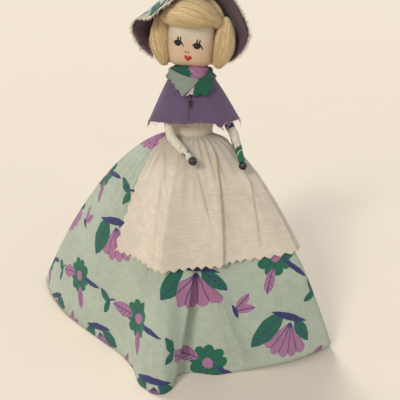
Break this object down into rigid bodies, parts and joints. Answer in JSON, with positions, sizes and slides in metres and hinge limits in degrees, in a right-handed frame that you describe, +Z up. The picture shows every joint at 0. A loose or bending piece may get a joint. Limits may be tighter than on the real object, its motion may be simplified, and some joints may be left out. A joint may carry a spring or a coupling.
{
  "type": "cloth doll",
  "caption": "Standing cloth doll in a lined bonnet, short cape, crossed scarf, cream apron and wide print skirt, with wired arms that end in beads",
  "frame": {"origin": "The middle of the post's foot, on the floor.", "axes": "+Z up along the post, -Y the way the doll faces, +X to the doll's left."},
  "size_m": [0.1862, 0.1564, 0.201],
  "materials": {
    "wood": "bare turned dowel",
    "wire": "plain soft wire",
    "print_cloth": "pale mint cotton with a leaf and flower print, raw edges",
    "muslin": "unbleached cream muslin, pinked edges",
    "mauve_cloth": "plain dusky mauve cotton, frayed edges",
    "scarf_cloth": "pinked scraps of green and mint print",
    "skin_cloth": "smooth peach cloth with a painted face",
    "roving": "loose pale blond wool roving",
    "thread": "cream sewing thread",
    "bead": "dark glossy round bead"
  },
  "bodies": {
    "body": {"post": "wood", "neck_pin": "wood", "bodice": "print_cloth", "arm_wire": "wire", "skirt": "print_cloth", "skirt_thread": "thread", "apron_panel": "muslin", "apron_band": "muslin", "apron_bow_knot": "muslin", "apron_bow_right_loop": "muslin", "apron_bow_left_loop": "muslin", "apron_bow_right_tail": "muslin", "apron_bow_left_tail": "muslin", "cape": "mauve_cloth", "cape_knot": "thread", "scarf_wrap": "scarf_cloth", "scarf_right_end": "scarf_cloth", "scarf_left_end": "scarf_cloth"},
    "head_and_bonnet": {"head": "skin_cloth", "hair_cap": "roving", "hair_fringe": "roving", "hair_right_lock": "roving", "hair_left_lock": "roving", "bonnet_brim": "print_cloth", "bonnet_lining": "mauve_cloth", "bonnet_crown": "print_cloth"},
    "right_upper_arm": {"right_upper_sleeve": "print_cloth"},
    "right_forearm": {"right_forearm_sleeve": "print_cloth", "right_forearm_wire": "wire", "right_hand_bead": "bead"},
    "left_upper_arm": {"left_upper_sleeve": "print_cloth"},
    "left_forearm": {"left_forearm_sleeve": "print_cloth", "left_forearm_wire": "wire", "left_hand_bead": "bead"}
  },
  "joints": [
    {"name": "head_turn", "type": "hinge", "parent": "body", "child": "head_and_bonnet", "pos_m": [0, 0, 0.1565], "axis": [0.0523, 0, 0.9986], "range_deg": [-39, 51]},
    {"name": "right_arm_turn", "type": "hinge", "parent": "body", "child": "right_upper_arm", "pos_m": [-0.01245, 0, 0.1435], "axis": [0.0523, -0.6419, -0.765], "range_deg": [0, 110]},
    {"name": "right_elbow", "type": "hinge", "parent": "right_upper_arm", "child": "right_forearm", "pos_m": [-0.01106, -0.01701, 0.12323], "axis": [-0.2401, -0.7517, 0.6143], "range_deg": [-8, 35]},
    {"name": "left_arm_turn", "type": "hinge", "parent": "body", "child": "left_upper_arm", "pos_m": [0.01245, 0, 0.1435], "axis": [-0.4384, 0.3074, 0.8446], "range_deg": [-6, 110]},
    {"name": "left_elbow", "type": "hinge", "parent": "left_upper_arm", "child": "left_forearm", "pos_m": [0.02407, -0.00815, 0.12112], "axis": [-0.8338, 0.2118, -0.5098], "range_deg": [-4, 60]}
  ]
}
